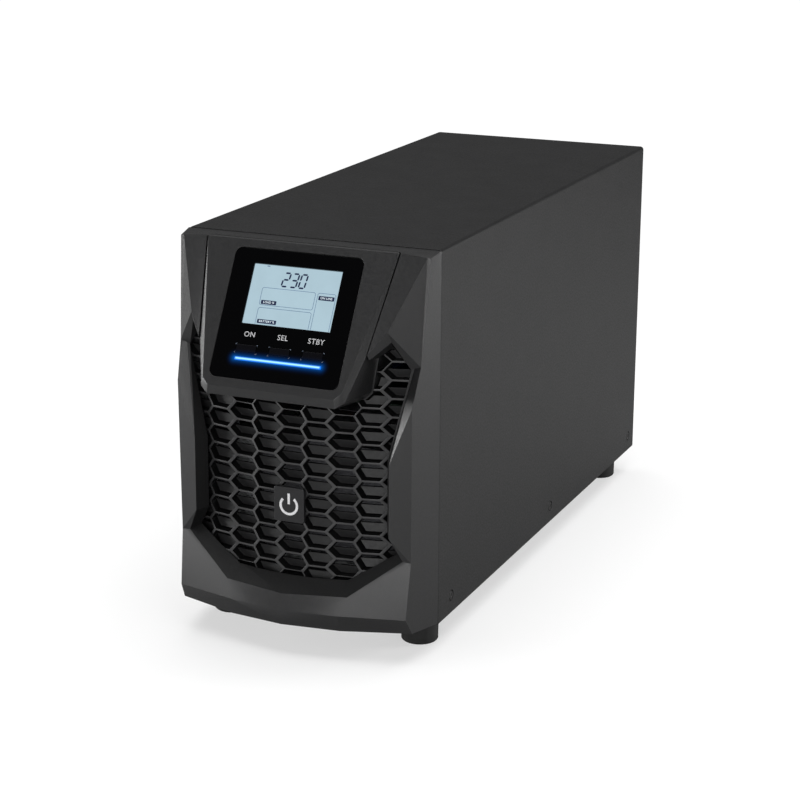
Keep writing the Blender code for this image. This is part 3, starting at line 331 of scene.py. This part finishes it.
# display_gloss, key_gloss and light_lens are added by light_display.
MATERIALS = {
    "cover_paint": powder_coat("cover_paint", (0.010, 0.010, 0.0103)),
    "panel_paint": powder_coat("panel_paint", (0.010, 0.010, 0.0103), 0.5),
    "tray_steel": metal("tray_steel", (0.50, 0.51, 0.52), 0.38, (1.0, 20.0, 1.0)),
    "bezel_plastic": moulded_plastic("bezel_plastic", (0.013, 0.013, 0.0135), 0.36),
    "grille_plastic": moulded_plastic("grille_plastic", (0.030, 0.030, 0.031), 0.40, 0.10),
    "badge_plate": moulded_plastic("badge_plate", (0.010, 0.010, 0.011), 0.35, 0.05),
    "lcd_face": glowing("lcd_face", (0.42, 0.57, 0.65), 0.9),
    "rubber": rubber_material("rubber", (0.006, 0.006, 0.006)),
    "black_screw": metal("black_screw", (0.05, 0.05, 0.05), 0.4),
    "zinc_screw": metal("zinc_screw", (0.60, 0.60, 0.62), 0.3),
    "battery_case": moulded_plastic("battery_case", (0.10, 0.10, 0.11), 0.55),
    "red_wire": gloss_plastic("red_wire", (0.5, 0.02, 0.02), 0.4),
    "black_wire": gloss_plastic("black_wire", (0.02, 0.02, 0.02), 0.4),
    "circuit_board": gloss_plastic("circuit_board", (0.004, 0.022, 0.010), 0.3),
    "aluminium": metal("aluminium", (0.72, 0.73, 0.74), 0.35, (1.0, 30.0, 1.0)),
    "capacitor_sleeve": gloss_plastic("capacitor_sleeve", (0.01, 0.012, 0.03), 0.25),
    "copper_winding": metal("copper_winding", (0.28, 0.11, 0.045), 0.42),
    "fan_plastic": moulded_plastic("fan_plastic", (0.016, 0.016, 0.017), 0.45, 0.06),
    "guard_wire": metal("guard_wire", (0.62, 0.62, 0.64), 0.22),
    "socket_plastic": moulded_plastic("socket_plastic", (0.018, 0.018, 0.019), 0.42, 0.08),
    "breaker_cap": gloss_plastic("breaker_cap", (0.45, 0.02, 0.015), 0.3),
    "port_metal": metal("port_metal", (0.60, 0.60, 0.62), 0.3),
    "lcd_ink": gloss_plastic("lcd_ink", (0.005, 0.012, 0.048), 0.5, 0.2),
    "lcd_ink_pale": gloss_plastic("lcd_ink_pale", (0.09, 0.15, 0.26), 0.5, 0.2),
    "lcd_light": glowing("lcd_light", (0.75, 0.86, 0.92), 1.0),
    "print_white": moulded_plastic("print_white", (0.62, 0.62, 0.63), 0.5, 0.02),
    "print_pale": moulded_plastic("print_pale", (0.42, 0.42, 0.43), 0.5, 0.02),
    # Painted shade: the recess walls are darker than the bezel around them, for the shade that
    # falls inside the recess.
    "recess_painted_shade": moulded_plastic("recess_painted_shade", (0.006, 0.006, 0.0062), 0.5, 0.04, 0.2),
    # Painted shade: the walls of the grille's cells are darker than its ribs, for the shade
    # inside the cells.
    "cell_wall_painted_shade": moulded_plastic("cell_wall_painted_shade", (0.004, 0.004, 0.0042), 0.5, 0.05, 0.2),
    # Painted shade: the plates at the back of the grille's cells are darker than its ribs, for
    # the shade deep in the cells.
    "cell_plate_painted_shade": moulded_plastic("cell_plate_painted_shade", (0.016, 0.016, 0.0165), 0.5, 0.08, 0.4),
    "print_grey": moulded_plastic("print_grey", (0.07, 0.09, 0.13), 0.5, 0.02),
}
SLOTS = {entry["node"]: entry["material_slot"] for entry in frame["record"]["subparts"]}


def body_of(node):
    for body, members in frame["record"]["behaviour"]["bodies"].items():
        if node in members:
            return body
    return None


def dress(obj, slot):
    """Give a piece one material, the one named after its slot in the record."""
    obj.data.materials.clear()
    obj.data.materials.append(MATERIALS[slot])


# ---------------------------------------------------------------- refined copies of CAD nodes
# Metres.
WELD = 2e-6
LONG_EDGE = 0.02
# Degrees.
FLAT_WITHIN = 0.6
SHARP_FROM = 24.0
# Radii of the rounded edges, in millimetres.
EDGE = 0.3
FINE_EDGE = 0.12
NORMAL_WEIGHT = 80


def refined(node, bevel=EDGE, angle=SHARP_FROM, fold=None):
    """Copy of a node's mesh with its flat faces made whole and its edges rounded.

    bevel is in millimetres, and angle in degrees is the least that counts as an edge.
    fold is (test, radius): long edges whose middle passes the test get the larger radius first.
    """
    bm = bmesh.new()
    bm.from_mesh(NODES[node].data)
    bmesh.ops.remove_doubles(bm, verts=bm.verts, dist=WELD)
    bmesh.ops.dissolve_limit(bm, angle_limit=math.radians(FLAT_WITHIN), verts=bm.verts,
                             edges=bm.edges)
    if fold:
        test, radius = fold
        chosen = [e for e in bm.edges if e.calc_length() > LONG_EDGE and len(e.link_faces) == 2
                  and e.calc_face_angle() > 0.5 and test((e.verts[0].co + e.verts[1].co) / 2)]
        bmesh.ops.bevel(bm, geom=chosen, offset=radius * MM, segments=5, profile=0.5,
                        affect="EDGES", clamp_overlap=True)
    mesh = bpy.data.meshes.new(node + "_shape")
    bm.to_mesh(mesh)
    bm.free()
    obj = bpy.data.objects.new(node + "_shape", mesh)
    bpy.context.scene.collection.objects.link(obj)
    modifier = obj.modifiers.new("edges", "BEVEL")
    modifier.width = bevel * MM
    modifier.segments = 2
    modifier.limit_method = "ANGLE"
    modifier.angle_limit = math.radians(angle)
    modifier.use_clamp_overlap = True
    mesh.shade_smooth()
    weighted = obj.modifiers.new("normals", "WEIGHTED_NORMAL")
    weighted.weight = NORMAL_WEIGHT
    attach(obj, body_of(node))
    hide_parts(node)
    dress(obj, SLOTS[node])
    return obj


def added(name, bm, material, body="case"):
    """New piece from a bmesh in world metres, with a material of its own."""
    mesh = bpy.data.meshes.new(name)
    bmesh.ops.recalc_face_normals(bm, faces=bm.faces)
    bm.to_mesh(mesh)
    bm.free()
    mesh.shade_smooth()
    obj = bpy.data.objects.new(name, mesh)
    bpy.context.scene.collection.objects.link(obj)
    mesh.materials.append(MATERIALS[material])
    weighted = obj.modifiers.new("normals", "WEIGHTED_NORMAL")
    weighted.weight = NORMAL_WEIGHT
    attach(obj, body)


# ---------------------------------------------------------------- display
GLASS_LENGTH = 76.0 * MM
GLASS_THICK = 1.5 * MM

# Millimetres in the display's own frame: u across, v down the slope, w out of it.
LCD_U = 0.8
LCD_V = 26.2
LCD_W = -0.3
LCD_SIZE = (54.6, 35.3)
INK_LIFT = 0.06
INK_HEIGHT = 1.4 * INK_LIFT

# Places on the LCD are shares of its width and height from its top left corner.
READING = "230"
READING_AT = (0.393, 0.226)
READING_STEP = 0.0965
DIGIT_SIZE = (3.6, 7.9)
DIGIT_SLANT = 0.12
STROKE_SHARE = 0.125
CLOSED_FRAME = ((0.149, 0.386), (0.752, 0.673))
OPEN_FRAMES = ((0.151, 0.752, 0.718), (0.779, 0.981, 0.386))
OPEN_FRAMES_END = 0.992
FRAME_LINE = 0.27
FRAME_ROUND = 1.2
TABS = ((0.165, 0.339, 0.592, 0.660), (0.168, 0.384, 0.908, 0.976), (0.793, 0.970, 0.430, 0.500))
TAB_WORDS = (("LOAD %", 0.252, 0.626), ("BATTERY %", 0.276, 0.942), ("ON LINE", 0.8815, 0.465))
TAB_ROUND = 0.4
TAB_WORD_SIZE = 1.75
MARK_AT = (0.166, 0.030)
MARK_SIZE = (1.9, 0.5)

KEY_WORDS = (("on_key", "ON"), ("select_key", "SEL"), ("standby_key", "STBY"))
WORD_V = 50.2
WORD_SIZE = 4.3
WORD_SHIFT = 0.3
TICK_HALF = (6.75, 2.6)
TICK_ARMS = (0.7, 0.6)
TICK_LINE = 0.28
PRINT_HEIGHT = 0.03
PRINT_EXTRUDE = 0.02

# The bar fades from its bright middle line to its edge, and the glass around it from there.
BAR_FADE = (0.15, 0.70)
BAR_STRENGTH = 1.15
HALO_FADE = (0.6, 7.0)
HALO_FALL = 4.6
HALO_STRENGTH = 0.7


class Slope:
    """Frame of the sloping display: u across, v down from the glass's top, w out of it."""

    def __init__(self):
        low, high = (Vector(corner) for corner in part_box("display_glass"))
        size = high - low
        square = GLASS_LENGTH ** 2 - GLASS_THICK ** 2
        sine = (GLASS_LENGTH * size.y - GLASS_THICK * size.z) / square
        cosine = (GLASS_LENGTH * size.z - GLASS_THICK * size.y) / square
        self.down = Vector((0.0, -sine, -cosine)).normalized()
        self.out = Vector((0.0, -cosine, sine)).normalized()
        middle = (low + high) / 2
        self.origin = middle - self.down * GLASS_LENGTH / 2 + self.out * GLASS_THICK / 2
        self.origin.x = 0.0

    def point(self, u, v, w=0.0):
        return self.origin + (Vector((u, 0, 0)) + self.down * v + self.out * w) * MM

    def matrix(self, u, v, w=0.0):
        """Axes for something drawn with x to the right and y up the slope."""
        turn = Matrix((Vector((1, 0, 0)), -self.down, self.out)).transposed()
        return Matrix.Translation(self.point(u, v, w)) @ turn.to_4x4()

    def place_of(self, node):
        low, high = (Vector(corner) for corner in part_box(node))
        offset = (low + high) / 2 - self.origin
        return offset.x / MM, offset.dot(self.down) / MM


def outline_to(bm, points, place, height):
    """Raised flat shape: outline in mm given to place(x, y, z) and closed by its sides."""
    top = [bm.verts.new(place(x, y, height)) for x, y in points]
    low = [bm.verts.new(place(x, y, 0.0)) for x, y in points]
    bm.faces.new(top)
    bm.faces.new(low[::-1])
    for i in range(len(points)):
        j = (i + 1) % len(points)
        bm.faces.new((top[i], low[i], low[j], top[j]))


def round_outline(cx, cy, width, height, radius, arc=5):
    points = []
    for sx, sy, start in ((1, 1, 0), (-1, 1, 90), (-1, -1, 180), (1, -1, 270)):
        for i in range(arc + 1):
            turn = math.radians(start + 90.0 * i / arc)
            points.append((cx + sx * (width / 2 - radius) + radius * math.cos(turn),
                           cy + sy * (height / 2 - radius) + radius * math.sin(turn)))
    return points


def ribbon(bm, points, width, place, height, closed=True):
    """Line of even width along a path, as a raised strip."""
    count = len(points)
    left, right = [], []
    for i, (x, y) in enumerate(points):
        before = points[i - 1] if closed or i > 0 else points[i]
        after = points[(i + 1) % count] if closed or i < count - 1 else points[i]
        along = Vector((after[0] - before[0], after[1] - before[1])).normalized()
        side = Vector((-along.y, along.x)) * width / 2
        left.append((x + side.x, y + side.y))
        right.append((x - side.x, y - side.y))
    rails = []
    for rail in (left, right):
        rails.append(([bm.verts.new(place(x, y, height)) for x, y in rail],
                      [bm.verts.new(place(x, y, 0.0)) for x, y in rail]))
    (lt, ll), (rt, rl) = rails
    for i in range(count if closed else count - 1):
        j = (i + 1) % count
        bm.faces.new((lt[i], lt[j], rt[j], rt[i]))
        bm.faces.new((ll[i], rl[i], rl[j], ll[j]))
        bm.faces.new((lt[i], ll[i], ll[j], lt[j]))
        bm.faces.new((rt[i], rt[j], rl[j], rl[i]))
    if not closed:
        bm.faces.new((lt[0], rt[0], rl[0], ll[0]))
        bm.faces.new((lt[-1], ll[-1], rl[-1], rt[-1]))


def words(name, text, size, matrix, material, weight):
    """Printed word as a thin raised mesh, centred on the matrix. weight fattens its strokes."""
    curve = bpy.data.curves.new(name + "_outline", "FONT")
    curve.body = text
    curve.size = size * MM
    curve.align_x = "CENTER"
    curve.align_y = "CENTER"
    curve.offset = weight * size * MM
    curve.space_character = 1.08
    curve.extrude = PRINT_EXTRUDE * MM
    curve.resolution_u = 3
    source = bpy.data.objects.new(name + "_outline", curve)
    bpy.context.scene.collection.objects.link(source)
    graph = bpy.context.evaluated_depsgraph_get()
    mesh = bpy.data.meshes.new_from_object(source.evaluated_get(graph))
    bpy.data.objects.remove(source)
    bpy.data.curves.remove(curve)
    mesh.name = name
    mesh.transform(matrix)
    mesh.materials.clear()
    mesh.materials.append(MATERIALS[material])
    obj = bpy.data.objects.new(name, mesh)
    bpy.context.scene.collection.objects.link(obj)
    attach(obj, "case")


# Strokes are lettered clockwise from the top one, with g across the middle.
SEGMENTS = {"2": "abged", "3": "abgcd", "0": "abcdef"}


def digit_strokes(cx, cy, character):
    """Strokes of a seven-segment digit, each pointed at its ends, y downwards."""
    half_w, half_h = DIGIT_SIZE[0] / 2, DIGIT_SIZE[1] / 2
    ends = {
        "a": ((-half_w, -half_h), (half_w, -half_h)), "g": ((-half_w, 0), (half_w, 0)),
        "d": ((-half_w, half_h), (half_w, half_h)), "f": ((-half_w, -half_h), (-half_w, 0)),
        "b": ((half_w, -half_h), (half_w, 0)), "e": ((-half_w, 0), (-half_w, half_h)),
        "c": ((half_w, 0), (half_w, half_h)),
    }
    stroke = DIGIT_SIZE[1] * STROKE_SHARE
    for letter in SEGMENTS[character]:
        (x0, y0), (x1, y1) = ends[letter]
        along = Vector((x1 - x0, y1 - y0))
        along.normalize()
        side = Vector((-along.y, along.x)) * stroke / 2
        start = Vector((x0, y0)) + along * stroke * 0.75
        end = Vector((x1, y1)) - along * stroke * 0.75
        tip = along * stroke / 2
        corners = [start - tip, start + side, end + side, end + tip, end - side, start - side]
        yield [(cx + p.x - DIGIT_SLANT * p.y, cy + p.y) for p in corners]


def light_display(slope):
    """Materials of the lit bar, pale inside and blue at its edges, and of the glass it lights."""
    bar_u, bar_v = slope.place_of("light_bar")
    low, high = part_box("light_bar")
    half = (high[0] - low[0]) / 2 / MM
    lens = Paint("light_lens_lit", (0.02, 0.05, 0.08), 0.3)
    lens.vary_roughness(lens.noise(300.0), 0.25, 0.4)
    away = lens.distance_from_bar(slope, bar_u, bar_v, half - 1.0)
    lens.glow_by(lens.ramp(away, *BAR_FADE, 1.0, 0.0), (0.42, 0.86, 1.0), (0.0, 0.16, 0.80),
                 BAR_STRENGTH)
    MATERIALS["light_lens"] = lens.material
    for name, colour, rough in (("display_gloss", (0.0008, 0.0008, 0.001), 0.08),
                                ("key_gloss", (0.003, 0.003, 0.004), 0.12)):
        glass = Paint(name + "_lit", colour, rough)
        glass.set("Specular IOR Level", 0.12)
        glass.vary_roughness(glass.noise(25.0), rough * 0.8, rough * 1.3)
        away = glass.distance_from_bar(slope, bar_u, bar_v, half)
        share = glass.math("POWER", glass.ramp(away, *HALO_FADE, 1.0, 0.0), HALO_FALL)
        glass.glow_by(share, (0.0, 0.12, 0.55), (0.0, 0.0, 0.0), HALO_STRENGTH)
        MATERIALS[name] = glass.material


def lcd_place(a, b):
    """u and v of a place on the LCD."""
    return LCD_U + (a - 0.5) * LCD_SIZE[0], LCD_V + (b - 0.5) * LCD_SIZE[1]


def lcd_box(a0, b0, a1, b1):
    """Middle, width and height of a box on the LCD."""
    (x0, y0), (x1, y1) = lcd_place(a0, b0), lcd_place(a1, b1)
    return (x0 + x1) / 2, (y0 + y1) / 2, x1 - x0, y1 - y0


def open_frame(a0, a1, b0):
    """Frame with two round upper corners that runs off the LCD's lower edge."""
    x0, y0 = lcd_place(a0, b0)
    x1, y1 = lcd_place(a1, OPEN_FRAMES_END)
    turns = [math.radians(t) for t in range(0, 91, 15)]
    corners = [(x0 + FRAME_ROUND - FRAME_ROUND * math.cos(t),
                y0 + FRAME_ROUND - FRAME_ROUND * math.sin(t)) for t in turns]
    corners += [(x1 - FRAME_ROUND + FRAME_ROUND * math.sin(t),
                 y0 + FRAME_ROUND - FRAME_ROUND * math.cos(t)) for t in turns]
    return [(x0, y1)] + corners + [(x1, y1)]


def build_lcd(slope):
    def on_lcd(u, v, height):
        return slope.point(u, v, LCD_W - INK_LIFT + height)

    digits = bmesh.new()
    for number, character in enumerate(READING):
        cx, cy = lcd_place(READING_AT[0] + READING_STEP * number, READING_AT[1])
        for stroke in digit_strokes(cx, cy, character):
            outline_to(digits, stroke, on_lcd, INK_HEIGHT)
    added("lcd_digits", digits, "lcd_ink")

    frames = bmesh.new()
    closed = round_outline(*lcd_box(*CLOSED_FRAME[0], *CLOSED_FRAME[1]), FRAME_ROUND)
    ribbon(frames, closed, FRAME_LINE, on_lcd, INK_HEIGHT)
    for frame_box in OPEN_FRAMES:
        ribbon(frames, open_frame(*frame_box), FRAME_LINE, on_lcd, INK_HEIGHT, closed=False)
    added("lcd_frames", frames, "lcd_ink_pale")

    tabs = bmesh.new()
    for a0, a1, b0, b1 in TABS:
        outline_to(tabs, round_outline(*lcd_box(a0, b0, a1, b1), TAB_ROUND), on_lcd, INK_HEIGHT)
    added("lcd_tabs", tabs, "lcd_ink")
    mark = bmesh.new()
    outline_to(mark, round_outline(*lcd_place(*MARK_AT), *MARK_SIZE, 0.2), on_lcd, INK_HEIGHT)
    added("lcd_mark", mark, "lcd_ink_pale")
    for number, (text, a, b) in enumerate(TAB_WORDS, 1):
        words("lcd_word_%d" % number, text, TAB_WORD_SIZE,
              slope.matrix(*lcd_place(a, b), LCD_W + 0.05), "lcd_light", 0.012)


def build_key_prints(slope):
    for node, text in KEY_WORDS:
        u, v = slope.place_of(node)
        words(node + "_word", text, WORD_SIZE, slope.matrix(u + WORD_SHIFT, WORD_V, 0.0),
              "print_pale", 0.006)
        ticks = bmesh.new()
        for sx in (-1, 1):
            for sy in (-1, 1):
                x, y = u + sx * TICK_HALF[0], v + sy * TICK_HALF[1]
                path = [(x - sx * TICK_ARMS[0], y), (x, y), (x, y - sy * TICK_ARMS[1])]
                ribbon(ticks, path, TICK_LINE, slope.point, PRINT_HEIGHT, closed=False)
        added(node + "_ticks", ticks, "print_grey")


def build_display():
    slope = Slope()
    light_display(slope)
    build_lcd(slope)
    build_key_prints(slope)


# ---------------------------------------------------------------- front
FRONT_EDGE = 0.45
RIB_EDGE = 0.38
RIB_SHARP_FROM = 30.0
# Height of the recess's middle and half its width in metres, and the least area of a half plate.
RECESS_MIDDLE = 0.112
RECESS_HALF = 0.071
PLATE_AREA = 25e-6
# Badge symbol, in millimetres.
SYMBOL_RADIUS = 5.2
SYMBOL_LINE = 1.5
SYMBOL_DROP = 0.4
SYMBOL_BAR = (6.8, 0.4)
SYMBOL_HEIGHT = 0.06


def faces_inwards(face, centre):
    """True for the walls of the recess, which look towards the middle of the grille."""
    to_centre = Vector((centre.x - face.center.x, 0.0, centre.z - face.center.z)).normalized()
    return (face.normal.dot(to_centre) > 0.35 and face.normal.y > -0.66
            and abs(face.center.x) < RECESS_HALF)


def paint_faces(obj, material, test):
    """Second material on the faces that pass the test."""
    obj.data.materials.append(MATERIALS[material])
    index = len(obj.data.materials) - 1
    for face in obj.data.polygons:
        if test(face):
            face.material_index = index


def build_front():
    bezel = refined("front_bezel", FRONT_EDGE)
    centre = Vector((0.0, 0.0, RECESS_MIDDLE))
    # Painted shade: the recess walls get a darker material for the shade inside the recess.
    paint_faces(bezel, "recess_painted_shade", lambda face: faces_inwards(face, centre))
    refined("display_shield", FRONT_EDGE)
    grille = refined("hex_grille", RIB_EDGE, RIB_SHARP_FROM)
    # Painted shade: the walls of the cells get a darker material for the shade inside them.
    paint_faces(grille, "cell_wall_painted_shade", lambda face: abs(face.normal.y) < 0.7)
    # Painted shade: the plates at the back of the cells get a darker material for the shade deep
    # in them.
    paint_faces(grille, "cell_plate_painted_shade", lambda face: abs(face.normal.y) > 0.7
                and face.area > PLATE_AREA)
    refined("grille_badge", 0.5)
    build_badge_symbol()


def build_badge_symbol():
    """Generic standby symbol: a ring open at its top, with a bar through the opening."""
    low, high = (Vector(corner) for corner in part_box("grille_badge"))
    middle = (low + high) / 2

    def on_badge(x, y, height):
        return Vector((middle.x + x * MM, low.y - height * MM, middle.z + y * MM))

    symbol = bmesh.new()
    turns = [math.radians(t) for t in range(38, 323, 12)]
    ring = [(SYMBOL_RADIUS * math.sin(t), SYMBOL_RADIUS * math.cos(t) - SYMBOL_DROP)
            for t in turns]
    bar = [(0.0, y) for y in SYMBOL_BAR]
    for path in (ring, bar):
        ribbon(symbol, path, SYMBOL_LINE, on_badge, SYMBOL_HEIGHT, closed=False)
    added("badge_symbol", symbol, "print_white")


def dress_cad_nodes():
    for node, obj in NODES.items():
        obj.data.materials.clear()
        obj.data.materials.append(MATERIALS[SLOTS[node]])


# Cover: its two long upper folds are rounder than its cut edges.
COVER_EDGE = 0.25
COVER_FOLD = 1.6
DISPLAY_NODES = ("display_glass", "lcd_panel", "light_bar", "on_key", "select_key", "standby_key")
# Round or densely meshed in the CAD already, so the CAD's own surface is shown.
SHOWN_AS_PACKED = {
    "battery_lead_red", "battery_lead_black", "fan_guard", "power_board", "main_inductor",
}


def on_cover_fold(place):
    return abs(place.x) > 0.078 and place.z > 0.234


make_camera()
make_stage()
build_display()
dress_cad_nodes()
build_front()
refined("top_cover", COVER_EDGE, fold=(on_cover_fold, COVER_FOLD))
for node in DISPLAY_NODES:
    refined(node, FINE_EDGE)
for node in sorted(NODES):
    if node + "_shape" not in bpy.data.objects and node not in SHOWN_AS_PACKED:
        refined(node)
